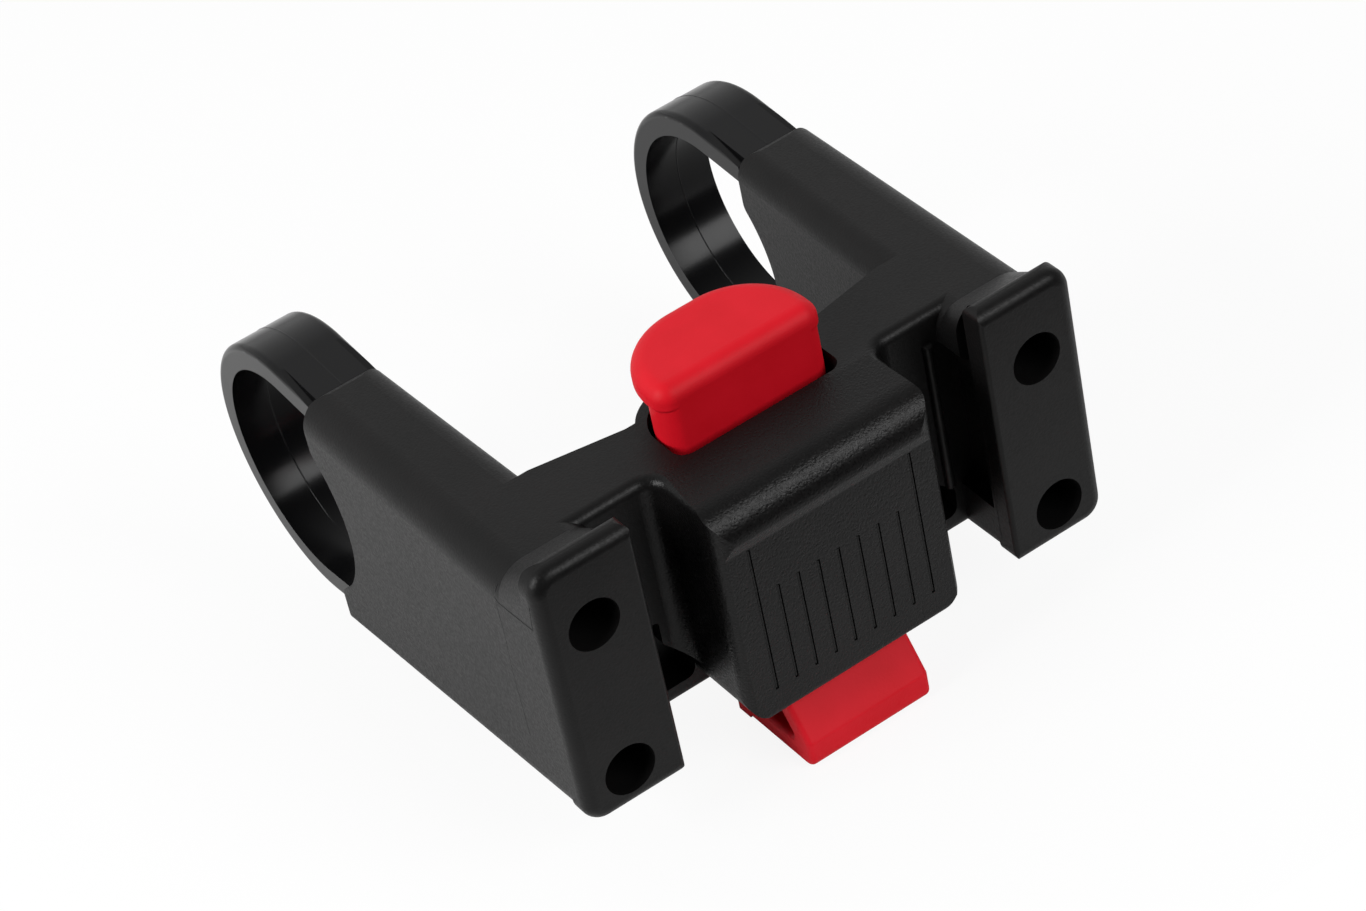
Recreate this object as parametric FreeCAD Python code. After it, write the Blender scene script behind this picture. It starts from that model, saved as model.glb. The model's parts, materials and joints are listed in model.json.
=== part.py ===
"""Handlebar bag mount: a moulded carrier with two strap clamps and a sprung red release latch.

Millimetres, +Z up. X runs along the handlebar, -Y is the front where the bag hangs and the origin is the middle
of the handlebar axis.
"""
import FreeCAD
import Part
import math
import os

V = FreeCAD.Vector

os.makedirs("parts", exist_ok=True)

# Handlebar and clamp
half_width = 41.0            # to the outer faces of the arms
clamp_inset = 7.0            # outer face to the middle of a clamp, its screws and its strap
clamp_x = half_width - clamp_inset
bar_radius = 15.9            # 31.8 mm handlebar
strap_width = 10.4
strap_thickness = 3.5
strap_lean = 5.0             # the legs close in by this angle towards the arms
shoulder_gap = 0.4           # between a strap's shoulder and the end of its arm
leg_entry = 13.0             # the middle of a leg runs on to here, inside its arm
leg_clearance = 0.15
ledge_width = 1.2            # the rims of a leg slope away towards the arm
ledge_start = -1.0
ledge_drop = 1.5
rim_round = 0.9              # outer edges of a strap

# Arms
arm_rear_thick = 12.7
arm_front_thick = 14.6
arm_inner_rear = half_width - arm_rear_thick
arm_inner_front = half_width - arm_front_thick
arm_top = 19.6
arm_bottom_rear = -19.2
arm_bottom_front = -16.8
arm_rear_low = -8.5          # end of the arm under the bar
arm_rear_high = -11.0        # end of the arm above the bar
ramp_length = 6.3            # where the top climbs to the front plate
ramp_rise = 0.8              # how far the ramp ends below the top of the plate
ramp_bite = 0.6              # how far the ramp runs into the plate
outer_round = 4.5
inner_round = 3.6
bottom_outer_rear = 1.4      # lower edges of the arm, which widen towards the plate
bottom_outer_front = 3.8
bottom_inner_rear = 1.4
bottom_inner_front = 2.8
end_round = 1.2              # top edge of the rear end
seat_lip_round = 2.0

# Front plates
plate_front = -66.8
plate_thickness = 3.5
plate_rear = plate_front + plate_thickness
plate_top = 24.2
plate_outer_round = 3.4      # upper corners of the plate seen from the front
plate_inner_round = 1.2
plate_outer_foot = 3.0       # lower corners
plate_inner_foot = 2.0
plate_edge = 1.8             # front edge over the top, the outer side and the foot
plate_inner_edge = 0.6
plate_rear_edge = 1.3        # rear edge of the top
hole_upper = 13.2            # screw axes
hole_lower = -11.0

# Bridge, spring housing and latch block
channel_room = 7.1           # back of the plates to the front of the bridge
bridge_depth = 12.3
bridge_waist = 2.5           # how far the rear of the bridge steps in towards the housing
bridge_front = plate_rear + channel_room
bridge_rear_side = bridge_front + bridge_depth
bridge_rear_mid = bridge_rear_side - bridge_waist
bridge_bottom = -16.4
bridge_bite = 4.6            # how far the bridge runs into the arms
bridge_round = 2.0           # lower front edge
deck_round = 1.5             # upper front edges of bridge and block
housing_half = 14.0
housing_bulge = 3.5
housing_rear = bridge_rear_mid + housing_bulge
housing_round = 8.2
housing_wall = 1.5
block_half = 16.8
block_proud = 1.4            # panel of the block in front of the plates
block_front = plate_front - block_proud
brow_top = 18.8              # front of the block's top, which falls a little from the bridge
brow_radius = 4.8
brow_step = 0.5              # the panel below the brow is set back by this
brow_line = 13.8             # where the brow starts to run back to the panel
brow_blend = 1.6
block_corner = 2.6
block_bottom = -15.5
block_foot = 1.0             # lower front edge
foot_round = 4.7             # lower corners seen from the front
side_round = 2.5             # inside corners between block and bridge
web_round = 3.2              # inside corners between bridge and arms
wall = 2.4
window_depth = 4.0
core_rib = 1.6
core_margin = 0.4
core_round = 0.6
groove_pitch = 3.09          # grooves of the panel
groove_half = 0.24
groove_depth = 0.4
groove_bottom = -11.2
groove_top = 4.4
outer_groove_top = 12.0

# Channels for the rails of the bag
rail_slot = 2.2
rail_depth = 2.5
rail_floor = -9.0
nub_bottom = 13.5
nub_round = 2.3
rib_gap = 0.9                # guide rib to the line of the plate's inner edge
rib_width = 1.4
rib_height = 0.8
rib_round = 0.6
rib_bottom = -8.6
rib_top = 15.2

# Screws M4 and nuts
screw_radius = 1.95
head_radius = 3.5
head_height = 4.0
socket_flats = 3.0
socket_depth = 2.2
screw_length = 30.0
head_sink = 16.8             # front of the plates to the seat of the heads
head_seat = plate_front + head_sink
head_edge = 0.4
counterbore_radius = 3.7
screw_clearance = 0.3
screw_chamfer = 0.5
nut_flats = 7.0
nut_height = 3.2
thread_clearance = 0.05
nut_clearance = 0.05
nut_end_gap = 0.1            # nut to the ends of its pocket

# Strap ends inside the arms
tongue_half = 4.2
tongue_inner = 15.2
tongue_outer = 17.2
lug_half = 4.3
lug_front = -33.0
lug_rear = -25.0
lug_margin = 4.7             # plastic from the screw axis to the far side of a lug
pocket_clearance = 0.3
pocket_front = -40.0

# Red release latch, one moulding that rocks on two trunnions
latch_swing = 7.5            # degrees that the press turns it by
pivot_back = 6.7             # front of the bridge to the pivot
pivot_y = bridge_front + pivot_back
pivot_z = 5.0
trunnion_radius = 3.0
trunnion_clearance = 0.06
trunnion_reach = 1.9         # past the side of the neck
trunnion_chamfer = 0.6
trunnion_end_gap = 0.2
side_gap = 0.4               # neck to the sides of the opening
front_gap = 2.2              # room in front of the neck for the swing
rear_gap = 1.0
pad_top = 28.2
pad_bottom = 24.4
pad_half = 12.5
pad_overhang = 2.7           # past the housing
pad_rear = housing_rear + pad_overhang
pad_corner = 2.5             # front corners seen from above
pad_side = 1.0               # straight length of each side
pad_edge = 2.2
pad_under_edge = 0.8
neck_corner = 2.4
neck_bottom = 0.5
neck_wall = 1.7
hollow_side = 2.2
hollow_round = 3.6
front_wall = 2.5
shank_half = 9.65
shank_gap = 0.6
hook_bottom = -27.5
hook_bar = 3.2
hook_inset = 0.2             # tip of the hook behind the panel of the block
hook_tip = block_front + hook_inset
hook_edge = 0.8
hook_tip_top = -23.4
hook_ramp_top = -17.6
hook_ramp_back = 4.0         # how far the ramp leans back from tip to top
ramp_thickness = 3.0
stop_gap = 0.2               # between the resting neck and the stops in the well

# Return spring behind the shank
spring_radius = 3.4          # to the middle of the wire
wire = 0.9
coils = 4.5
chords_per_coil = 12         # straight runs that make one turn of the wire
spring_z = -9.5
post_radius = 2.6
post_length = 1.4
spring_clearance = 0.05


def box(x0, x1, y0, y1, z0, z1):
    return Part.makeBox(x1 - x0, y1 - y0, z1 - z0, V(x0, y0, z0))


def outline(points, place):
    """Closed wire through (a, b, radius) corners, each rounded by its radius; place maps (a, b) to a point."""
    n = len(points)
    ends = []
    for i in range(n):
        a0, b0, _ = points[i - 1]
        a, b, r = points[i]
        a1, b1, _ = points[(i + 1) % n]
        u = V(a0 - a, b0 - b, 0).normalize()
        w = V(a1 - a, b1 - b, 0).normalize()
        corner = V(a, b, 0)
        if r == 0:
            ends.append((corner, None, corner))
            continue
        half = u.getAngle(w) / 2
        reach = r / math.tan(half)
        bisector = (u + w).normalize()
        centre = corner + bisector * (r / math.sin(half))
        ends.append((corner + u * reach, centre - bisector * r, corner + w * reach))
    edges = []
    for i in range(n):
        start, middle, stop = ends[i]
        if middle is not None:
            edges.append(Part.Arc(place(start), place(middle), place(stop)).toShape())
        following = ends[(i + 1) % n][0]
        if (following - stop).Length > 1e-6:
            edges.append(Part.LineSegment(place(stop), place(following)).toShape())
    return Part.Wire(edges)


def prism_x(points, x0, x1):
    face = Part.Face(outline(points, lambda p: V(x0, p.x, p.y)))
    return face.extrude(V(x1 - x0, 0, 0))


def prism_y(points, y0, y1):
    face = Part.Face(outline(points, lambda p: V(p.x, y0, p.y)))
    return face.extrude(V(0, y1 - y0, 0))


def prism_z(points, z0, z1):
    face = Part.Face(outline(points, lambda p: V(p.x, p.y, z0)))
    return face.extrude(V(0, 0, z1 - z0))


def rod_x(y, z, radius, x0, x1):
    return Part.makeCylinder(radius, x1 - x0, V(x0, y, z), V(1, 0, 0))


def rod_y(x, z, radius, y0, y1):
    return Part.makeCylinder(radius, y1 - y0, V(x, y0, z), V(0, 1, 0))


def rod_z(x, y, radius, z0, z1):
    return Part.makeCylinder(radius, z1 - z0, V(x, y, z0), V(0, 0, 1))


def hexagon_y(x, z, flats, y0, y1):
    """Hexagonal bar along Y with two flats facing sideways."""
    corner = flats / math.sqrt(3)
    points = []
    for k in range(6):
        angle = math.radians(90 + 60 * k)
        points.append((x + corner * math.cos(angle), z + corner * math.sin(angle), 0))
    return prism_y(points, y0, y1)


def rounded(shape, radius, chosen):
    """Fillets the edges whose middle point satisfies chosen."""
    edges = [e for e in shape.Edges if chosen(e.valueAt((e.FirstParameter + e.LastParameter) / 2))]
    return shape.makeFillet(radius, edges)


def leaning(shape):
    """A leg drawn level above the bar, turned to the lean of the strap, with its twin below the bar."""
    upper = shape.copy()
    upper.rotate(V(0, 0, 0), V(1, 0, 0), strap_lean)
    return upper.fuse(upper.mirror(V(0, 0, 0), V(0, 0, 1)))


def other_side(shape):
    return shape.mirror(V(0, 0, 0), V(1, 0, 0))


def both_sides(shape):
    return shape.fuse(other_side(shape))


# One arm, drawn on the +X side as lofts between three sections
def along(y, rear, front):
    """Straight taper of a size from the rear end of the arm to its front plate."""
    return rear + (front - rear) * (y - arm_rear_low) / (plate_rear - arm_rear_low)


def section_at(y, top):
    inner = along(y, arm_inner_rear, arm_inner_front)
    bottom = along(y, arm_bottom_rear, arm_bottom_front)
    corners = [
        (inner, bottom, along(y, bottom_inner_rear, bottom_inner_front)),
        (half_width, bottom, along(y, bottom_outer_rear, bottom_outer_front)),
        (half_width, top, outer_round),
        (inner, top, inner_round),
    ]
    return outline(corners, lambda p: V(p.x, y, p.y))


ramp_start = plate_rear + ramp_length
ramp_end = section_at(plate_rear - ramp_bite, plate_top - ramp_rise)
arm = Part.makeLoft([section_at(arm_rear_low, arm_top), section_at(ramp_start, arm_top)], True, True)
ramp = Part.makeLoft([section_at(ramp_start, arm_top), ramp_end], True, True)
arm = arm.fuse(ramp)
far = 2 * half_width         # past every end of the object
end_split = -2.0             # the two ends meet here, inside the seat
end_zone = arm_rear_high - 20
high_end = prism_x(
    [
        (end_zone, end_split, 0),
        (arm_rear_high, end_split, 0),
        (arm_rear_high, arm_top, end_round),
        (end_zone, arm_top, 0),
    ],
    0,
    far,
)
low_end = box(0, far, end_zone, arm_rear_low, -far, end_split)
front_zone = box(0, far, -2 * far, end_zone, -far, far)
arm = arm.common(front_zone.fuse(low_end).fuse(high_end)).removeSplitter()

# Seat for the handlebar, with rounded lips
arm = arm.cut(rod_x(0, 0, bar_radius, -far, far))
arm = rounded(
    arm,
    seat_lip_round,
    lambda p: abs(math.hypot(p.y, p.z) - bar_radius) < 0.02
    and min(abs(p.y - arm_rear_high), abs(p.y - arm_rear_low)) < 0.02,
)

# Front plate of one arm: the outer edge is one rolling round, the inner corners are small
plate = prism_y(
    [
        (arm_inner_front, arm_bottom_front, 0),
        (half_width, arm_bottom_front, plate_outer_foot),
        (half_width, plate_top, plate_outer_round),
        (arm_inner_front, plate_top, 0),
    ],
    plate_front,
    plate_rear,
)
plate = rounded(
    plate,
    plate_edge,
    lambda p: abs(p.y - plate_front) < 0.01 and p.x > arm_inner_front + 0.1,
)
plate_corners = prism_y(
    [
        (arm_inner_front, arm_bottom_front, plate_inner_foot),
        (half_width + 1, arm_bottom_front, 0),
        (half_width + 1, plate_top, 0),
        (arm_inner_front, plate_top, plate_inner_round),
    ],
    plate_front - 1,
    plate_rear,
)
plate_plan = prism_z(
    [
        (arm_inner_front, plate_front, plate_inner_edge),
        (half_width + 1, plate_front, 0),
        (half_width + 1, plate_rear, 0),
        (arm_inner_front, plate_rear, 0),
    ],
    arm_bottom_front - 1,
    plate_top + 1,
)
plate_profile = prism_x(
    [
        (plate_front - 1, arm_bottom_front - 1, 0),
        (plate_front - 1, plate_top, 0),
        (plate_rear, plate_top, plate_rear_edge),
        (plate_rear, arm_bottom_front - 1, 0),
    ],
    arm_inner_front - 1,
    half_width + 1,
)
plate = plate.common(plate_corners).common(plate_plan).common(plate_profile)

# Deck: the bridge between the arms and the latch block that stands out in front of it
bridge_end = arm_inner_front + bridge_bite
web_x = along(bridge_rear_side, arm_inner_rear, arm_inner_front)
brow_front = block_front - brow_step
deck = prism_z(
    [
        (-bridge_end, bridge_front, 0),
        (-block_half, bridge_front, side_round),
        (-block_half, brow_front, block_corner),
        (block_half, brow_front, block_corner),
        (block_half, bridge_front, side_round),
        (bridge_end, bridge_front, 0),
        (bridge_end, bridge_rear_side, 0),
        (web_x, bridge_rear_side, 0),
        (housing_half, bridge_rear_mid, 0),
        (-housing_half, bridge_rear_mid, 0),
        (-web_x, bridge_rear_side, 0),
        (-bridge_end, bridge_rear_side, 0),
    ],
    bridge_bottom,
    arm_top,
)
deck = rounded(deck, deck_round, lambda p: abs(p.z - arm_top) < 0.01 and p.y < bridge_front + 0.01)

# Rounded brow of the block over a panel that is set back, and the rounded foot of the block
block_back = bridge_front + bridge_round + 0.5
block = deck.common(
    prism_x(
        [
            (block_back, block_bottom, 0),
            (block_back, arm_top, 0),
            (bridge_front - 1, arm_top, 0),
            (brow_front, brow_top, brow_radius),
            (brow_front, brow_line, 1.0),
            (block_front, brow_line - brow_blend, 1.0),
            (block_front, block_bottom, block_foot),
        ],
        -block_half - side_round,
        block_half + side_round,
    )
)
foot = box(
    block_half - foot_round,
    block_half + side_round + 1,
    brow_front - 1,
    bridge_front + bridge_round + 1,
    block_bottom - 1,
    block_bottom + foot_round,
)
foot = foot.cut(
    rod_y(
        block_half - foot_round,
        block_bottom + foot_round,
        foot_round,
        brow_front - 1,
        bridge_front + bridge_round + 1,
    )
)
block = block.cut(both_sides(foot))
bridge = deck.common(
    prism_x(
        [
            (bridge_front, bridge_bottom, bridge_round),
            (bridge_front, arm_top, 0),
            (bridge_rear_side + 1, arm_top, 0),
            (bridge_rear_side + 1, bridge_bottom, 0),
        ],
        -bridge_end,
        bridge_end,
    )
)

# Housing behind the thumb pad
housing = prism_z(
    [
        (-housing_half, bridge_front + 1, 0),
        (housing_half, bridge_front + 1, 0),
        (housing_half, housing_rear, housing_round),
        (-housing_half, housing_rear, housing_round),
    ],
    bridge_bottom,
    arm_top,
)
web_corner = box(
    web_x - web_round,
    web_x + 0.4,
    bridge_rear_side - 0.6,
    bridge_rear_side + web_round,
    bridge_bottom,
    arm_top - inner_round,
)
web_corner = web_corner.cut(rod_z(web_x - web_round, bridge_rear_side + web_round, web_round, -30, 30))

# Guide rib at the back of each channel
rib_outer = arm_inner_front - rib_gap
rib_inner = rib_outer - rib_width
rib_front = bridge_front - rib_height
rib = prism_z(
    [
        (rib_inner, rib_front, rib_round),
        (rib_outer, rib_front, rib_round),
        (rib_outer, bridge_front + 1, 0),
        (rib_inner, bridge_front + 1, 0),
    ],
    rib_bottom,
    rib_top,
)
rib_profile = prism_x(
    [
        (rib_front, rib_bottom, rib_round),
        (rib_front, rib_top, rib_round),
        (bridge_front + 1, rib_top, 0),
        (bridge_front + 1, rib_bottom, 0),
    ],
    rib_inner - 1,
    rib_outer + 1,
)
rib = rib.common(rib_profile)

body = both_sides(arm.fuse(plate).fuse(web_corner).fuse(rib)).fuse(bridge).fuse(block).fuse(housing)
body = body.removeSplitter()

# Rail channels behind the inner edges of the plates, each under a rounded nub
rail_wall = arm_inner_front + rail_depth
slot = box(arm_inner_front - 2, rail_wall, plate_rear, plate_rear + rail_slot, rail_floor, plate_top + 10)
relief = box(
    arm_inner_front - 0.01,
    rail_wall,
    plate_rear + rail_slot - 0.5,
    bridge_front,
    rail_floor,
    nub_bottom + nub_round,
)
nub = prism_y(
    [
        (arm_inner_front - 0.1, nub_bottom, nub_round),
        (rail_wall + 1, nub_bottom, 0),
        (rail_wall + 1, nub_bottom + 10, 0),
        (arm_inner_front - 0.1, nub_bottom + 10, 0),
    ],
    plate_rear,
    bridge_front + 1,
)
body = body.cut(both_sides(slot.fuse(relief.cut(nub))))

# Screw bores and the pockets that take the strap ends
for axis in (hole_upper, hole_lower):
    bore = rod_y(clamp_x, axis, counterbore_radius, plate_front - 1, head_seat)
    bore = bore.fuse(rod_y(clamp_x, axis, screw_radius + screw_clearance, head_seat - 1, pocket_front + 1))
    body = body.cut(both_sides(bore))
pocket_half = lug_half + pocket_clearance
upper_pocket = box(
    clamp_x - pocket_half,
    clamp_x + pocket_half,
    pocket_front,
    0,
    hole_upper - lug_margin - pocket_clearance,
    tongue_outer + pocket_clearance,
)
lower_pocket = box(
    clamp_x - pocket_half,
    clamp_x + pocket_half,
    pocket_front,
    0,
    -tongue_outer - pocket_clearance,
    hole_lower + lug_margin + pocket_clearance,
)
leg_room = leaning(
    box(
        clamp_x - tongue_half - pocket_clearance,
        clamp_x + tongue_half + pocket_clearance,
        -leg_entry - 0.5,
        0,
        bar_radius - 0.5,
        bar_radius + strap_thickness + leg_clearance,
    )
)
body = body.cut(both_sides(upper_pocket.fuse(lower_pocket).fuse(leg_room)))

# Keyhole window in each front wall of the bridge, and the core behind it that is open underneath
core_front = bridge_front + window_depth + core_rib
core_inner = block_half - core_margin
core_outer = arm_inner_front - core_margin
rear_slope = (bridge_rear_side - bridge_rear_mid) / (web_x - housing_half)
core = prism_z(
    [
        (core_inner, core_front, core_round),
        (core_outer, core_front, core_round),
        (core_outer, bridge_rear_mid + (core_outer - housing_half) * rear_slope - wall, core_round),
        (core_inner, bridge_rear_mid + (core_inner - housing_half) * rear_slope - wall, core_round),
    ],
    bridge_bottom - 1,
    arm_top - wall,
)
window = prism_y(
    [
        (17.0, -13.4, 1.4),
        (25.2, -13.4, 1.4),
        (25.5, -9.4, 1.6),
        (21.8, -6.0, 1.0),
        (21.8, -2.2, 0.6),
        (20.5, -2.2, 0.6),
        (20.5, -6.0, 1.0),
        (16.6, -10.6, 1.4),
    ],
    bridge_front - 2,
    bridge_front + window_depth,
)
body = body.cut(both_sides(core)).cut(both_sides(window))

# Well that takes the latch, its trunnion sockets and the hollow of the block
opening_half = housing_half - housing_wall
opening_front = bridge_front - 0.2
opening_rear = housing_rear - housing_wall
well = prism_z(
    [
        (-opening_half, opening_front, 2.0),
        (opening_half, opening_front, 2.0),
        (opening_half, opening_rear, housing_round - housing_wall),
        (-opening_half, opening_rear, housing_round - housing_wall),
    ],
    -40,
    40,
)
neck_half = opening_half - side_gap
neck_front = opening_front + front_gap
neck_rear = opening_rear - rear_gap
shank_rear = neck_front + front_wall
passage_half = shank_half + shank_gap
passage = box(-passage_half, passage_half, block_front + wall, opening_front + 1, -40, neck_bottom + 3)
hollow = box(-block_half + wall, block_half - wall, block_front + wall, opening_front - wall, -40, brow_line - 1)
trunnion_end = neck_half + trunnion_reach
socket_end = trunnion_end + trunnion_end_gap
socket = rod_x(pivot_y, pivot_z, trunnion_radius + trunnion_clearance, -socket_end, socket_end)
body = body.cut(well).cut(passage).cut(hollow).cut(socket)
stop = box(passage_half, opening_half + 0.5, opening_front - 0.5, neck_front - stop_gap, -6, pivot_z - 1)
post = rod_y(0, spring_z, post_radius, opening_rear - post_length, opening_rear + 0.5)
body = body.fuse(both_sides(stop)).fuse(post)

# Ribbed panel: two long grooves outside seven short ones
groove_floor = block_front + groove_depth
for k in range(-4, 5):
    top = outer_groove_top if abs(k) == 4 else groove_top
    x = k * groove_pitch
    body = body.cut(box(x - groove_half, x + groove_half, block_front - 1, groove_floor, groove_bottom, top))

body = body.removeSplitter()
body.exportStep("parts/mount_body.step")

# Clamp strap of the +X side: a U-shaped band with a tongue and a nut lug on each end
strap_x0 = clamp_x - strap_width / 2
strap_x1 = clamp_x + strap_width / 2
strap_outer = bar_radius + strap_thickness
top_end = arm_rear_high + shoulder_gap
low_end_y = arm_rear_low + shoulder_gap
lean_y = -math.sin(math.radians(strap_lean))
lean_z = math.cos(math.radians(strap_lean))
ahead = prism_x(
    [(0, 0, 0), (60 * lean_y, 60 * lean_z, 0), (-90, 60, 0), (-90, -60, 0), (60 * lean_y, -60 * lean_z, 0)],
    0,
    60,
)
ring = rod_x(0, 0, strap_outer, strap_x0, strap_x1).cut(ahead)
legs = leaning(box(strap_x0, strap_x1, -16, 0, bar_radius - 1, strap_outer))
band = ring.fuse(legs)
band = band.cut(box(0, 60, -60, top_end, 0, 60)).cut(box(0, 60, -60, low_end_y, -60, 0)).removeSplitter()


def on_outer_rim(p):
    side = min(abs(p.x - strap_x0), abs(p.x - strap_x1)) < 0.01
    reach = max(math.hypot(p.y, p.z) if p.y > 0 else 0, lean_y * p.y + lean_z * abs(p.z))
    return side and abs(reach - strap_outer) < 0.05


band = rounded(band, rim_round, on_outer_rim)
band = band.cut(rod_x(0, 0, bar_radius, 0, 60))
band = band.cut(box(0, 60, -60, 0, -14, 14)).cut(leaning(box(0, 60, -60, 0, bar_radius - 4, bar_radius)))
ledge = [
    (ledge_start, strap_outer, 0),
    (-16, strap_outer - ledge_drop, 0),
    (-16, strap_outer + 5, 0),
    (ledge_start, strap_outer + 5, 0),
]
for x0, x1 in ((strap_x0 - 1, strap_x0 + ledge_width), (strap_x1 - ledge_width, strap_x1 + 1)):
    band = band.cut(leaning(prism_x(ledge, x0, x1)))
leg_half = tongue_half - 0.2
leg = box(clamp_x - leg_half, clamp_x + leg_half, -leg_entry, -6, bar_radius + 0.3, strap_outer)
band = band.fuse(leaning(leg))


nut_room = nut_flats + 2 * nut_clearance
nut_room_front = lug_rear - nut_height - 2 * nut_end_gap


def nut_lug(axis, z0, z1):
    """Lug with a hexagonal nut pocket open to the rear and a hole for the screw."""
    lug = box(clamp_x - lug_half, clamp_x + lug_half, lug_front, lug_rear, z0, z1)
    lug = lug.cut(hexagon_y(clamp_x, axis, nut_room, nut_room_front, lug_rear + 1))
    return lug.cut(rod_y(clamp_x, axis, screw_radius + screw_clearance, lug_front - 1, lug_rear + 1))


tongue_x0 = clamp_x - tongue_half
tongue_x1 = clamp_x + tongue_half
upper_tongue = box(tongue_x0, tongue_x1, lug_rear - 0.5, top_end + 0.8, tongue_inner, tongue_outer)
lower_tongue = box(tongue_x0, tongue_x1, lug_rear - 0.5, low_end_y + 0.8, -tongue_outer, -tongue_inner)
strap = band.fuse(upper_tongue.cut(hexagon_y(clamp_x, hole_upper, nut_room, lug_rear - 1, 0)))
strap = strap.fuse(lower_tongue)
strap = strap.fuse(nut_lug(hole_upper, hole_upper - lug_margin, tongue_outer))
strap = strap.fuse(nut_lug(hole_lower, -tongue_outer, hole_lower + lug_margin))
strap = strap.removeSplitter()
strap.exportStep("parts/clamp_strap_right.step")
other_side(strap).exportStep("parts/clamp_strap_left.step")


# Screws and nuts
def clamp_screw(x, axis):
    head = rod_y(x, axis, head_radius, head_seat - head_height, head_seat)
    head_front = head_seat - head_height
    head = rounded(head, head_edge, lambda p: abs(p.y - head_front) < 0.01)
    head = head.cut(hexagon_y(x, axis, socket_flats, head_front - 1, head_front + socket_depth))
    shank = rod_y(x, axis, screw_radius, head_seat - 0.5, head_seat + screw_length)
    end = head_seat + screw_length
    shank = shank.makeChamfer(screw_chamfer, [e for e in shank.Edges if abs(e.CenterOfMass.y - end) < 0.01])
    return head.fuse(shank).removeSplitter()


def clamp_nut(x, axis):
    nut = hexagon_y(x, axis, nut_flats, lug_rear - nut_height - nut_end_gap, lug_rear - nut_end_gap)
    return nut.cut(rod_y(x, axis, screw_radius + thread_clearance, lug_rear - 10, lug_rear + 10))


for side, x in (("left", -clamp_x), ("right", clamp_x)):
    for level, axis in (("upper", hole_upper), ("lower", hole_lower)):
        clamp_screw(x, axis).exportStep("parts/clamp_screw_%s_%s.step" % (side, level))
        clamp_nut(x, axis).exportStep("parts/clamp_nut_%s_%s.step" % (side, level))

# Red latch: thumb pad, hollow neck with its trunnions, shank and the hook under the block
pad_round = min(pad_rear - neck_front - pad_corner - pad_side, pad_half - 0.5)
pad = prism_z(
    [
        (-pad_half, neck_front, pad_corner),
        (pad_half, neck_front, pad_corner),
        (pad_half, pad_rear, pad_round),
        (-pad_half, pad_rear, pad_round),
    ],
    pad_bottom,
    pad_top,
)
pad = rounded(pad, pad_edge, lambda p: abs(p.z - pad_top) < 0.01)
pad = rounded(pad, pad_under_edge, lambda p: abs(p.z - pad_bottom) < 0.01 and p.y > pad_rear - pad_round)
neck_round = min(housing_round - housing_wall - side_gap, neck_rear - neck_front - neck_corner - 0.1)
neck = prism_z(
    [
        (-neck_half, neck_front, neck_corner),
        (neck_half, neck_front, neck_corner),
        (neck_half, neck_rear, neck_round),
        (-neck_half, neck_rear, neck_round),
    ],
    neck_bottom,
    pad_bottom + 1,
)
hollow_half = neck_half - hollow_side
hollow_rear = neck_rear - neck_wall
neck_hollow = prism_z(
    [
        (-hollow_half, shank_rear, 0.5),
        (hollow_half, shank_rear, 0.5),
        (hollow_half, hollow_rear, hollow_round),
        (-hollow_half, hollow_rear, hollow_round),
    ],
    neck_bottom - 1,
    pad_bottom + 1,
)
trunnions = rod_x(pivot_y, pivot_z, trunnion_radius, -trunnion_end, trunnion_end)
trunnion_rims = [e for e in trunnions.Edges if abs(abs(e.CenterOfMass.x) - trunnion_end) < 0.01]
trunnions = trunnions.makeChamfer(trunnion_chamfer, trunnion_rims)
trunnions = trunnions.cut(box(-neck_half + 0.5, neck_half - 0.5, neck_front, neck_rear, -far, far))
shank = box(-shank_half, shank_half, neck_front, shank_rear, hook_bottom, neck_bottom + 1)
lean = hook_ramp_back / (hook_ramp_top - hook_tip_top)
ramp_reach = ramp_thickness * math.hypot(1, lean)
bar_top = hook_bottom + hook_bar
ramp_foot = hook_tip + ramp_reach + (bar_top - hook_tip_top) * lean
hook = prism_x(
    [
        (shank_rear, hook_bottom, 1.2),
        (hook_tip, hook_bottom, 1.4),
        (hook_tip, hook_tip_top, 0.8),
        (hook_tip + hook_ramp_back, hook_ramp_top, 0.5),
        (hook_tip + hook_ramp_back + ramp_reach, hook_ramp_top, 0.5),
        (ramp_foot, bar_top, 0.8),
        (neck_front + 0.5, bar_top, 0),
        (shank_rear, bar_top, 0),
    ],
    -shank_half,
    shank_half,
)
hook = rounded(
    hook,
    hook_edge,
    lambda p: abs(abs(p.x) - shank_half) < 0.01 and p.y < neck_front - 1 and p.z < hook_ramp_top - 0.2
    and (p.z < bar_top - 0.5 or p.y < ramp_foot - 1.5),
)
peg = rod_y(0, spring_z, post_radius, shank_rear - 0.5, shank_rear + post_length)
latch = pad.fuse(neck.cut(neck_hollow)).fuse(trunnions).fuse(shank).fuse(hook).fuse(peg).removeSplitter()
latch.exportStep("parts/release_latch.step")

# Return spring between the shank and the rear wall of the well
spring_front = shank_rear + wire / 2 + spring_clearance
spring_back = opening_rear - wire / 2 - spring_clearance
spring_length = spring_back - spring_front
chords = int(coils * chords_per_coil)
path = []
for k in range(chords + 1):
    angle = 2 * math.pi * k / chords_per_coil
    along_axis = spring_front + spring_length * k / chords
    path.append(V(spring_radius * math.cos(angle), along_axis, spring_z + spring_radius * math.sin(angle)))
profile = Part.Wire(Part.makeCircle(wire / 2, path[0], path[1] - path[0]))
spring = Part.makePolygon(path).makePipeShell([profile], True, False, 1)
spring.exportStep("parts/return_spring.step")
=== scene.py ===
# %% [markdown]
# # Handlebar bag mount
# The object is a black nylon carrier that clamps to a handlebar and a red latch that locks a bag to it. The
# imported CAD model already has every working shape, so this lesson gives the surfaces their finish, adds the
# fine marks that moulding leaves, winds the spring and sets up the lamps and the camera.

# %% Load the frame
import json
import math

import bpy
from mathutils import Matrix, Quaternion, Vector


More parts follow.
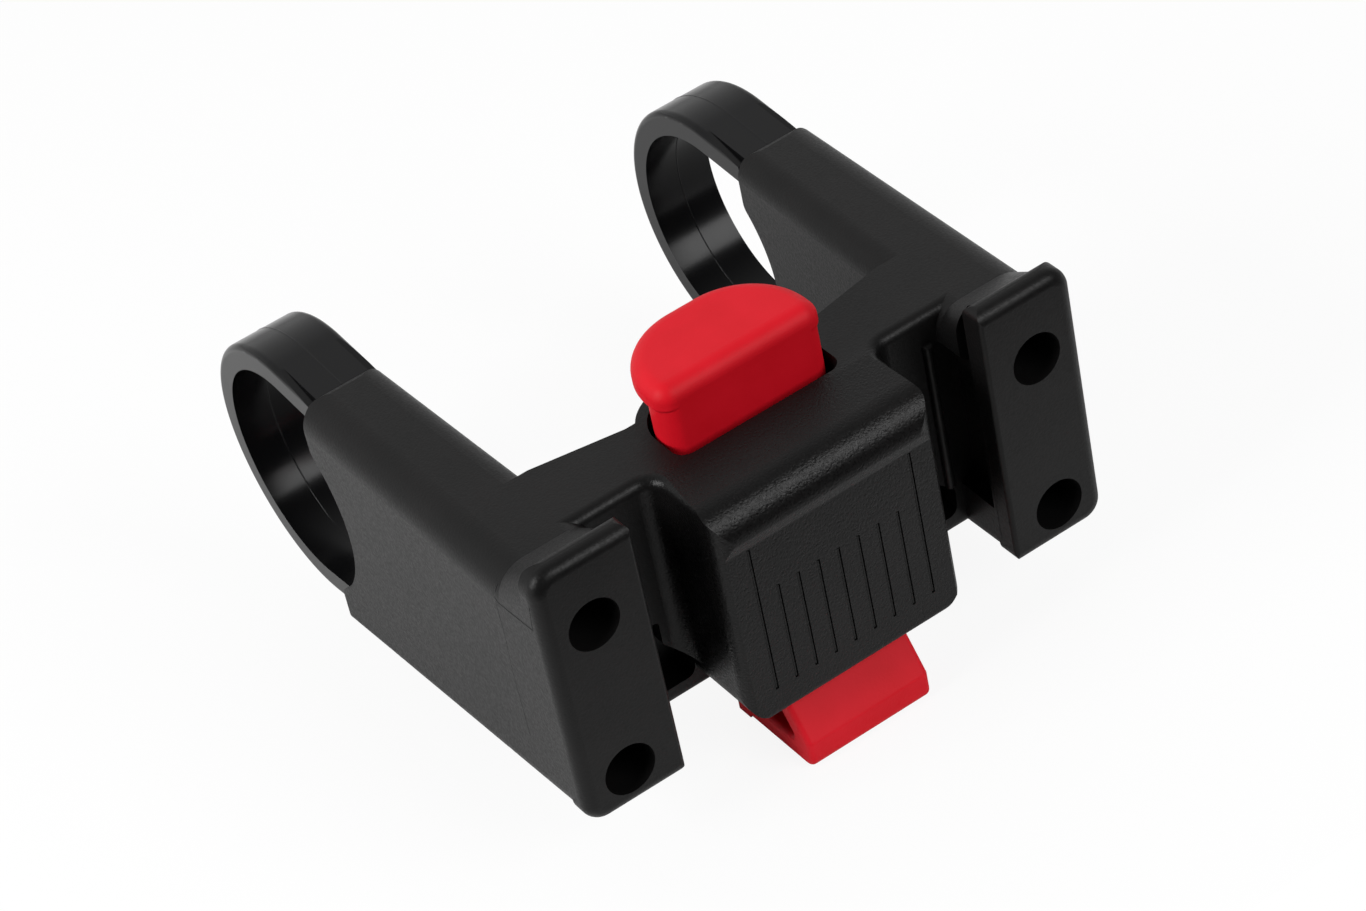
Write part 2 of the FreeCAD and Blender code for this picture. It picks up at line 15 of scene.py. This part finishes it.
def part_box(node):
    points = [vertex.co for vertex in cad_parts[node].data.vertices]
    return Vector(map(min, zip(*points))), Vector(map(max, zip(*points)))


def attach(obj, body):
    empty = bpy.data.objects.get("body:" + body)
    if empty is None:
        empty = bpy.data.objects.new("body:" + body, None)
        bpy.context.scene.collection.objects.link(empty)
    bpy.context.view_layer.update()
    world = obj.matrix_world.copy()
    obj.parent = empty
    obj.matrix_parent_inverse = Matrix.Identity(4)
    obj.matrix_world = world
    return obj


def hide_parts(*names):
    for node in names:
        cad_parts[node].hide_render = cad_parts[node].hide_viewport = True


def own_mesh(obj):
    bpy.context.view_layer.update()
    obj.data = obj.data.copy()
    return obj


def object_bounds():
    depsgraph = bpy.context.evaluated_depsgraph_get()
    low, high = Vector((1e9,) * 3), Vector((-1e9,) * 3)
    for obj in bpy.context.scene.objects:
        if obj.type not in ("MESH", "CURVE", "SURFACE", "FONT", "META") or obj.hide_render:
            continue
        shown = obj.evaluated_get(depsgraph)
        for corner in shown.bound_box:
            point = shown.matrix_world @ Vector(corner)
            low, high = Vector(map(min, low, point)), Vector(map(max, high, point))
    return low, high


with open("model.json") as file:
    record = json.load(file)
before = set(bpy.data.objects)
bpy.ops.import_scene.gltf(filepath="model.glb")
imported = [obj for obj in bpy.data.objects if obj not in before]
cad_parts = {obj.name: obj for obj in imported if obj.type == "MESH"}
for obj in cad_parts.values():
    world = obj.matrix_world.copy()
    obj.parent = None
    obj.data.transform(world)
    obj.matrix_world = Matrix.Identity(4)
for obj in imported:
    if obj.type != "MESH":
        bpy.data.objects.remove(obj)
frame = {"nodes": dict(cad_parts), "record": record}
cad_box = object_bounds()
MM = 0.001
print("CAD box in mm:", [[round(v / MM, 1) for v in corner] for corner in cad_box])

# %% [markdown]
# ## Tools for materials
# Colours are written as sRGB hex values, because that is how a swatch is read, and one function turns them
# to the linear values that the renderer uses. One small function adds a node, sets its values and joins its
# inputs, so each material below reads as a list of what it is made of.

# %% Colour and node helpers
def linear(hex_colour):
    """sRGB hex to a linear RGBA tuple."""
    channels = [int(hex_colour[i:i + 2], 16) / 255 for i in (1, 3, 5)]
    return tuple(c / 12.92 if c <= 0.04045 else ((c + 0.055) / 1.055) ** 2.4 for c in channels) + (1.0,)


def add(tree, kind, settings=None, **inputs):
    """Adds a node. Each input has the name of its socket, with _ for spaces, and is a value or a socket."""
    node = tree.nodes.new(kind)
    for name, value in (settings or {}).items():
        setattr(node, name, value)
    for name, value in inputs.items():
        numbered = name[1:].isdigit()
        socket = node.inputs[int(name[1:])] if numbered else node.inputs[name.replace("_", " ")]
        if isinstance(value, bpy.types.NodeSocket):
            tree.links.new(value, socket)
        else:
            socket.default_value = value
    return node


def math_node(tree, operation, first, second):
    """The output of one calculation with two numbers."""
    return add(tree, "ShaderNodeMath", {"operation": operation}, _0=first, _1=second).outputs[0]


noise_low, noise_high = 0.3, 0.7     # nearly all of a noise lies between these


def spread(tree, noise, low, high):
    """A noise, stretched to the range from low to high."""
    stretched = add(
        tree, "ShaderNodeMapRange",
        Value=noise.outputs["Fac"], From_Min=noise_low, From_Max=noise_high, To_Min=low, To_Max=high,
    )
    return stretched.outputs["Result"]


def blend(tree, share, first, second):
    """A colour between two swatches."""
    mix = add(tree, "ShaderNodeMix", {"data_type": "RGBA"}, _0=share)
    mix.inputs[6].default_value = linear(first)
    mix.inputs[7].default_value = linear(second)
    return mix.outputs[2]


def new_material(name):
    """An empty material, its tree and the coordinates that stay on the part when it moves."""
    material = bpy.data.materials.new(name)
    material.use_nodes = True
    tree = material.node_tree
    tree.nodes.clear()
    return material, tree, add(tree, "ShaderNodeTexCoord").outputs["Object"]


def finish_material(tree, shader):
    add(tree, "ShaderNodeOutputMaterial", Surface=shader.outputs["BSDF"])


def per_mm(size_mm):
    """Scale of a texture whose pattern repeats at about this size."""
    return 1 / (size_mm * MM)


# %% [markdown]
# ## Black glass-filled nylon
# The carrier is injection moulded in a tool whose walls were spark eroded, which leaves a fine sandy grain.
# The grain breaks up the gloss, so the black looks dull face on and pale at a glancing angle, and it
# glitters a little where a rounded edge catches a lamp. A low specular level gives the dull face and a bump
# of a fine noise gives the grain. The same noise moves the roughness up and down, so that the glitter is
# uneven. In the photograph the block in the middle has a coarser grain than the arms, so the bump is deeper
# there.

# %% Carrier finish
grain_mm = 0.34
fine_depth = 0.05 * MM           # grain of the arms and plates
coarse_depth = 0.13 * MM         # grain of the latch block
block_gloss = 0.09               # each speck of the coarse grain is smoother by this roughness
block_side = 17.5 * MM
block_back = -55.0 * MM
depth_fade = 2.0 * MM            # over this width the coarse grain fades to the fine one


def spark_eroded_nylon():
    material, tree, place = new_material("glass-filled nylon, spark eroded")
    grain = add(tree, "ShaderNodeTexNoise", Vector=place, Scale=per_mm(grain_mm), Detail=2.0, Roughness=0.6)
    cloud = add(tree, "ShaderNodeTexNoise", Vector=place, Scale=per_mm(9), Detail=2.0)
    colour = blend(tree, spread(tree, cloud, 0, 1), "#0D0D0D", "#121111")
    axes = add(tree, "ShaderNodeSeparateXYZ", Vector=place).outputs
    across = add(
        tree, "ShaderNodeMapRange", Value=math_node(tree, "ABSOLUTE", axes["X"], 0.0),
        From_Min=block_side, From_Max=block_side + depth_fade, To_Min=1.0, To_Max=0.0,
    )
    forward = add(
        tree, "ShaderNodeMapRange", Value=axes["Y"],
        From_Min=block_back - depth_fade, From_Max=block_back, To_Min=1.0, To_Max=0.0,
    )
    on_block = math_node(tree, "MULTIPLY", across.outputs["Result"], forward.outputs["Result"])
    extra = math_node(tree, "MULTIPLY", on_block, coarse_depth - fine_depth)
    depth = math_node(tree, "ADD", extra, fine_depth)
    bump = add(tree, "ShaderNodeBump", Height=grain.outputs["Fac"], Strength=0.6, Distance=depth)
    smoother = math_node(tree, "MULTIPLY", on_block, block_gloss)
    roughness = math_node(tree, "SUBTRACT", spread(tree, grain, 0.33, 0.48), smoother)
    shader = add(
        tree, "ShaderNodeBsdfPrincipled",
        Base_Color=colour, Roughness=roughness, Normal=bump.outputs["Normal"],
        IOR=1.53, Specular_IOR_Level=0.16,
    )
    finish_material(tree, shader)
    return material


# %% [markdown]
# ## Smooth black nylon
# The straps are moulded in polished tools. They are darker and smoother than the carrier, and their inner
# face mirrors the lamps in soft bands.

# %% Strap finish
def polished_nylon():
    material, tree, place = new_material("nylon, polished mould")
    flow = add(tree, "ShaderNodeTexNoise", Vector=place, Scale=per_mm(4), Detail=3.0)
    fine = add(tree, "ShaderNodeTexNoise", Vector=place, Scale=per_mm(2.5), Detail=1.0)
    bump = add(tree, "ShaderNodeBump", Height=fine.outputs["Fac"], Strength=0.05, Distance=0.05 * MM)
    shader = add(
        tree, "ShaderNodeBsdfPrincipled",
        Base_Color=linear("#0C0C0D"), Roughness=spread(tree, flow, 0.17, 0.21), Normal=bump.outputs["Normal"],
        IOR=1.53, Specular_IOR_Level=0.16,
    )
    finish_material(tree, shader)
    return material


# %% [markdown]
# ## Red acetal
# The latch is dyed through, so its red is deep in the shade and clear in the light. Acetal has a waxy, low
# gloss and a satin grain from the tool.

# %% Latch finish
def red_acetal():
    material, tree, place = new_material("acetal, dyed red, satin moulded")
    mottle = add(tree, "ShaderNodeTexNoise", Vector=place, Scale=per_mm(6), Detail=2.0)
    colour = blend(tree, spread(tree, mottle, 0, 1), "#CF0C1D", "#D61022")
    grain = add(tree, "ShaderNodeTexNoise", Vector=place, Scale=per_mm(0.35), Detail=2.0)
    bump = add(tree, "ShaderNodeBump", Height=grain.outputs["Fac"], Strength=0.3, Distance=0.07 * MM)
    shader = add(
        tree, "ShaderNodeBsdfPrincipled",
        Base_Color=colour, Roughness=0.55, Normal=bump.outputs["Normal"],
        IOR=1.48, Specular_IOR_Level=0.2,
    )
    finish_material(tree, shader)
    return material


# %% [markdown]
# ## Steel
# The screws are blackened, the nuts are zinc plated and the spring is bare drawn wire. A bump of fine bands
# stands for the 0.7 mm thread of the screws. It is drawn on the shank only, behind the seat of the head.

# %% Steel finishes
thread_pitch_mm = 0.7
screw_head = 4.0 * MM
head_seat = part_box("clamp_screw_left_upper")[0].y + screw_head


def blackened_screw():
    material, tree, place = new_material("steel, black oxide")
    y = add(tree, "ShaderNodeSeparateXYZ", Vector=place).outputs["Y"]
    ridges = math_node(tree, "PINGPONG", math_node(tree, "MULTIPLY", y, per_mm(thread_pitch_mm)), 0.5)
    thread = math_node(tree, "MULTIPLY", ridges, math_node(tree, "GREATER_THAN", y, head_seat))
    bump = add(tree, "ShaderNodeBump", Height=thread, Strength=1.0, Distance=0.5 * MM)
    wear = add(tree, "ShaderNodeTexNoise", Vector=place, Scale=per_mm(1.5), Detail=3.0)
    shader = add(
        tree, "ShaderNodeBsdfPrincipled",
        Base_Color=linear("#3A3A3C"), Metallic=1.0, Roughness=spread(tree, wear, 0.3, 0.5),
        Normal=bump.outputs["Normal"],
    )
    finish_material(tree, shader)
    return material


def bright_steel(name, hex_colour, streak_mm):
    material, tree, place = new_material(name)
    streak = add(tree, "ShaderNodeTexNoise", Vector=place, Scale=per_mm(streak_mm), Detail=3.0)
    shader = add(
        tree, "ShaderNodeBsdfPrincipled",
        Base_Color=linear(hex_colour), Metallic=1.0, Roughness=spread(tree, streak, 0.24, 0.4),
    )
    finish_material(tree, shader)
    return material


# %% [markdown]
# ## Dress the CAD nodes
# Each node names a material slot in the record, and each slot gets one finish.

# %% Give every node its finish
finishes = {
    "black_nylon": spark_eroded_nylon(),
    "gloss_nylon": polished_nylon(),
    "red_acetal": red_acetal(),
    "black_steel": blackened_screw(),
    "zinc_steel": bright_steel("steel, zinc plated", "#B9BCC2", 0.6),
    "spring_steel": bright_steel("steel, drawn wire", "#A7A8AC", 0.4),
}
for part in frame["record"]["subparts"]:
    node = frame["nodes"][part["node"]]
    node.data.materials.clear()
    node.data.materials.append(finishes[part["material_slot"]])
print("finishes:", sorted(finishes), "on", len(frame["nodes"]), "nodes")

# %% [markdown]
# ## A tree that sweeps a round section along a path
# The seams of the straps, the marks of the tool on the arms and the wire of the spring are all round
# sections that follow a path, so one Geometry Nodes tree makes them all. Its inputs are the radius of the
# section, the number of its sides and the finish.

# %% Sweep tree
def sweep_tree():
    tree = bpy.data.node_groups.new("round sweep", "GeometryNodeTree")
    tree.interface.new_socket("Path", in_out="INPUT", socket_type="NodeSocketGeometry")
    tree.interface.new_socket("Radius", in_out="INPUT", socket_type="NodeSocketFloat")
    tree.interface.new_socket("Sides", in_out="INPUT", socket_type="NodeSocketInt")
    tree.interface.new_socket("Finish", in_out="INPUT", socket_type="NodeSocketMaterial")
    tree.interface.new_socket("Piece", in_out="OUTPUT", socket_type="NodeSocketGeometry")
    given = add(tree, "NodeGroupInput").outputs
    section = add(
        tree, "GeometryNodeCurvePrimitiveCircle",
        Resolution=given["Sides"], Radius=given["Radius"],
    )
    swept = add(
        tree, "GeometryNodeCurveToMesh",
        Curve=given["Path"], Profile_Curve=section.outputs["Curve"], Fill_Caps=True,
    )
    smooth = add(tree, "GeometryNodeSetShadeSmooth", Geometry=swept.outputs["Mesh"])
    real = add(tree, "GeometryNodeRealizeInstances", Geometry=smooth.outputs[0])
    dressed = add(tree, "GeometryNodeSetMaterial", Geometry=real.outputs[0], Material=given["Finish"])
    add(tree, "NodeGroupOutput", Piece=dressed.outputs[0])
    return tree


round_sweep = sweep_tree()
print("tree:", round_sweep.name)


# %% [markdown]
# A path is a list of points in metres, in the frame of the CAD. The tree runs as a modifier on one or more
# paths, and what it makes is kept as a plain mesh that rides on one body and has one slot.

# %% Sweep paths into a piece
ridge_sides = 8                  # sides of a round section, more where it is seen closer
crown_sides = 12
wire_sides = 16


def swept_piece(name, paths, radius, sides, slot, body):
    curve = bpy.data.curves.new(name + " path", "CURVE")
    curve.dimensions = "3D"
    for points in paths:
        spline = curve.splines.new("POLY")
        spline.points.add(len(points) - 1)
        for point, place in zip(spline.points, points):
            point.co = (*place, 1)
    source = bpy.data.objects.new(name + " path", curve)
    bpy.context.scene.collection.objects.link(source)
    modifier = source.modifiers.new("sweep", "NODES")
    modifier.node_group = round_sweep
    values = {"Radius": radius, "Sides": sides, "Finish": finishes[slot]}
    for item in round_sweep.interface.items_tree:
        if item.in_out == "INPUT" and item.name in values:
            modifier[item.identifier] = values[item.name]
    bpy.context.view_layer.update()
    evaluated = source.evaluated_get(bpy.context.evaluated_depsgraph_get())
    mesh = bpy.data.meshes.new_from_object(evaluated)
    bpy.data.objects.remove(source)
    mesh.name = name
    piece = bpy.data.objects.new(name, mesh)
    bpy.context.scene.collection.objects.link(piece)
    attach(piece, body)
    return piece


# %% [markdown]
# ## Seams of the straps
# Two halves of a tool meet along the middle of each strap and leave a hair-thin ridge outside and inside.
# The middle of the ridge lies inside the strap, so that only a low crown shows.

# %% Strap seams
strap_lean = math.radians(5)     # how far each leg closes in towards its tip
bar_radius = 15.9 * MM
seam_radius = 0.14 * MM
outer_seam_sunk = 0.07 * MM
inner_seam_sunk = 0.10 * MM
seam_upper_end = -10.4 * MM
seam_lower_end = -7.9 * MM
seam_turns = 40                  # straight runs round the back of the bar


def leg_point(x, y, radius):
    return Vector((x, y, (radius + y * math.sin(strap_lean)) / math.cos(strap_lean)))


def strap_path(x, radius):
    """Points on the middle line of a strap face, from the upper leg round the back to the lower leg."""
    points = [leg_point(x, seam_upper_end, radius)]
    for k in range(seam_turns + 1):
        angle = math.pi / 2 + strap_lean - (math.pi + 2 * strap_lean) * k / seam_turns
        points.append(Vector((x, radius * math.cos(angle), radius * math.sin(angle))))
    lower = leg_point(x, seam_lower_end, radius)
    lower.z = -lower.z
    points.append(lower)
    return points


for side in ("left", "right"):
    low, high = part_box("clamp_strap_" + side)
    middle = (low.x + high.x) / 2
    for face, radius in (("outer", high.y - outer_seam_sunk), ("inner", bar_radius + inner_seam_sunk)):
        name = f"strap_seam_{side}_{face}"
        path = strap_path(middle, radius)
        swept_piece(name, [path], seam_radius, ridge_sides, "gloss_nylon", "strap_" + side)

# %% [markdown]
# ## Marks of the tool on the arms
# The photograph shows a fine line down the outer face of the left arm and a branch to the front near its
# top, as the slide of a tool leaves them. The right arm gets the same lines, mirrored.

# %% Witness lines of the slides
witness_radius = 0.10 * MM
slide_sunk = 0.076               # in mm, like the points: depth of the middle of each line under the face
slide_end_sunk = 0.045
slide_line = [(-56.1, 14.8, 0), (-56.1, 9.0, 0), (-55.6, 3.0, 0), (-55.8, -8.0, 0)]
slide_end = [                    # y, z and how far the rounded shoulder has turned in
    (-56.5, 17.4, 0.64),
    (-56.4, 17.0, 0.43),
    (-56.3, 16.5, 0.23),
    (-56.1, 15.4, 0.02),
    (-56.6, 14.9, 0),
    (-64.5, 15.4, 0),
    (-65.1, 19.4, 0.01),
]
body_low, body_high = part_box("mount_body")
for side, face, inward in (("left", body_low.x, MM), ("right", body_high.x, -MM)):
    for mark, line, sunk in (("slide", slide_line, slide_sunk), ("slide_end", slide_end, slide_end_sunk)):
        points = [Vector((face + inward * (turned + sunk), y * MM, z * MM)) for y, z, turned in line]
        name = f"witness_{side}_{mark}"
        swept_piece(name, [points], witness_radius, ridge_sides, "black_nylon", "carrier")

# %% [markdown]
# ## Floors of the grooves
# The grooves of the panel are square in the CAD. In the photograph they look shallower and catch some
# light, so they get crowned floors here. One piece with nine splines fills the bottom of all nine grooves.

# %% Groove floors
groove_pitch = 3.09              # these are in mm, as in the CAD
panel_y = -68.2
outer_groove = 4                 # grooves on each side of the middle one
crown_radius = 0.30
crown_depth = 0.38               # middle of the round section under the face of the panel
crown_low, crown_high, long_crown_high = -11.0, 4.2, 11.8
floors = []
for k in range(-outer_groove, outer_groove + 1):
    top = long_crown_high if abs(k) == outer_groove else crown_high
    floors.append([Vector((k * groove_pitch, panel_y + crown_depth, z)) * MM for z in (crown_low, top)])
swept_piece("groove_floors", floors, crown_radius * MM, crown_sides, "black_nylon", "carrier")
print("groove floors:", len(floors))

# %% [markdown]
# ## Return spring
# The CAD spring is a chain of straight runs. Here the wire is wound as a smooth helix on the same axis and
# over the same length. It takes the place of the CAD spring, which is hidden, and rides on the carrier.

# %% Wind the spring
spring_low, spring_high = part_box("return_spring")
wire_radius = 0.45 * MM
coils = 4.5
runs_per_coil = 48
spring_axis_z = (spring_low.z + spring_high.z) / 2
coil_radius = spring_high.x - wire_radius
wound_from = spring_low.y + wire_radius
wound_to = spring_high.y - wire_radius
helix = []
runs = int(coils * runs_per_coil)
for k in range(runs + 1):
    turn = 2 * math.pi * k / runs_per_coil
    along = wound_from + (wound_to - wound_from) * k / runs
    x, z = coil_radius * math.cos(turn), spring_axis_z + coil_radius * math.sin(turn)
    helix.append(Vector((x, along, z)))
spring = swept_piece("coil_spring", [helix], wire_radius, wire_sides, "spring_steel", "carrier")
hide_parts("return_spring")
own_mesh(spring)
print("spring:", coils, "coils,", len(spring.data.polygons), "faces")

# %% [markdown]
# ## Floor
# The object stands near the front edge of a white table. The camera sees the table almost as pure white
# with a soft shadow. In reflections the table keeps more of its shadow, so the faces between the arms stay
# darker than the outer ones. Rays that run out over the front edge find a dark room, which draws the dark
# line under the brow.

# %% White table
floor_gap = 0.3 * MM
floor_front = -0.125
floor_size = 6.0
white_in_view = 0.9
white_in_gloss = 0.05
bpy.ops.mesh.primitive_plane_add(
    size=floor_size,
    location=(0, floor_front + floor_size / 2, cad_box[0].z - floor_gap),
)
floor = bpy.context.object
floor.name = "floor"


def floor_finish():
    material, tree, _ = new_material("white paper")
    paper = add(tree, "ShaderNodeBsdfDiffuse", Color=linear("#F4F4F4"))
    white = add(tree, "ShaderNodeEmission", Color=linear("#FFFFFF"), Strength=1.0)
    rays = add(tree, "ShaderNodeLightPath").outputs
    mirrored = math_node(tree, "MAXIMUM", rays["Is Glossy Ray"], rays["Is Transmission Ray"])
    in_gloss = math_node(tree, "MULTIPLY", mirrored, white_in_gloss)
    in_view = math_node(tree, "MULTIPLY", rays["Is Camera Ray"], white_in_view)
    share = math_node(tree, "MAXIMUM", in_view, in_gloss)
    mix = add(tree, "ShaderNodeMixShader", _0=share, _1=paper.outputs[0], _2=white.outputs[0])
    add(tree, "ShaderNodeOutputMaterial", Surface=mix.outputs[0])
    return material


floor.data.materials.append(floor_finish())
print("floor at", round(floor.location.z / MM, 1), "mm")

# %% [markdown]
# ## Room
# A pale wall behind the object fades to a dark room in front. Every top face mirrors the wall, which gives
# the even grey of the arms. The camera itself sees white.

# %% Studio room
white_wall = Vector((0.1, 0.97, 0.2)).normalized()
wall_level = 0.9
room_level = 0.05
world = bpy.data.worlds.new("studio")
world.use_nodes = True
bpy.context.scene.world = world
sky = world.node_tree
sky.nodes.clear()
in_camera = add(sky, "ShaderNodeLightPath").outputs["Is Camera Ray"]
way = add(sky, "ShaderNodeTexCoord").outputs["Generated"]
facing = add(sky, "ShaderNodeVectorMath", {"operation": "DOT_PRODUCT"}, _0=way, _1=white_wall)
room = add(
    sky, "ShaderNodeMapRange", {"interpolation_type": "SMOOTHSTEP"},
    Value=facing.outputs["Value"], From_Min=-0.35, From_Max=0.9, To_Min=room_level, To_Max=wall_level,
)
level = math_node(sky, "MAXIMUM", in_camera, room.outputs["Result"])
light = add(sky, "ShaderNodeBackground", Color=linear("#FFFFFF"), Strength=level)
add(sky, "ShaderNodeOutputWorld", Surface=light.outputs[0])
print("room:", room_level, "in front to", wall_level, "behind")


# %% [markdown]
# ## Lamps
# A softbox at the front right stands where the brow and the inside of the straps mirror it, and it lights
# the front of the latch. A second one above the left arm fills the tops.

# %% Two softboxes
def softbox(name, place, size, power, target=(0, -0.03, 0)):
    lamp = bpy.data.lights.new(name, "AREA")
    lamp.shape = "RECTANGLE"
    lamp.size, lamp.size_y = size
    lamp.energy = power
    holder = bpy.data.objects.new(name, lamp)
    holder.location = place
    holder.rotation_mode = "QUATERNION"
    holder.rotation_quaternion = (Vector(target) - Vector(place)).to_track_quat("-Z", "Y")
    bpy.context.scene.collection.objects.link(holder)
    return holder


lamps = [
    softbox("front softbox", (0.30, -0.75, 0.53), (0.55, 0.42), 4.9),
    softbox("left softbox", (-0.80, -0.05, 0.45), (0.4, 0.4), 6.5),
]
print("lamps:", [(lamp.name, lamp.data.energy) for lamp in lamps])

# %% [markdown]
# ## Camera
# The photograph was taken with a long lens from the front left and above, with the camera turned so that
# uprights lean. The lens and the place are the ones that put the bores, seats and edges where the
# photograph has them.

# %% Photograph's view
view_azimuth = math.radians(-27.18)
view_elevation = math.radians(39.07)
view_roll = math.radians(-12.60)
view_distance = 0.56223
view_centre = Vector((-3.69 * MM, -40.0 * MM, 5.04 * MM))
back = Vector((
    math.sin(view_azimuth) * math.cos(view_elevation),
    -math.cos(view_azimuth) * math.cos(view_elevation),
    math.sin(view_elevation),
))
lens = bpy.data.cameras.new("camera")
lens.sensor_fit = "HORIZONTAL"
lens.sensor_width = 36
lens.lens = 116.45
lens.clip_start = 0.01
camera = bpy.data.objects.new("camera", lens)
camera.location = view_centre + back * view_distance
camera.rotation_mode = "QUATERNION"
camera.rotation_quaternion = (-back).to_track_quat("-Z", "Y") @ Quaternion((0, 0, 1), view_roll)
bpy.context.scene.collection.objects.link(camera)
bpy.context.scene.camera = camera
bpy.context.scene.view_settings.view_transform = "Standard"
print("camera at", [round(v, 3) for v in camera.location])
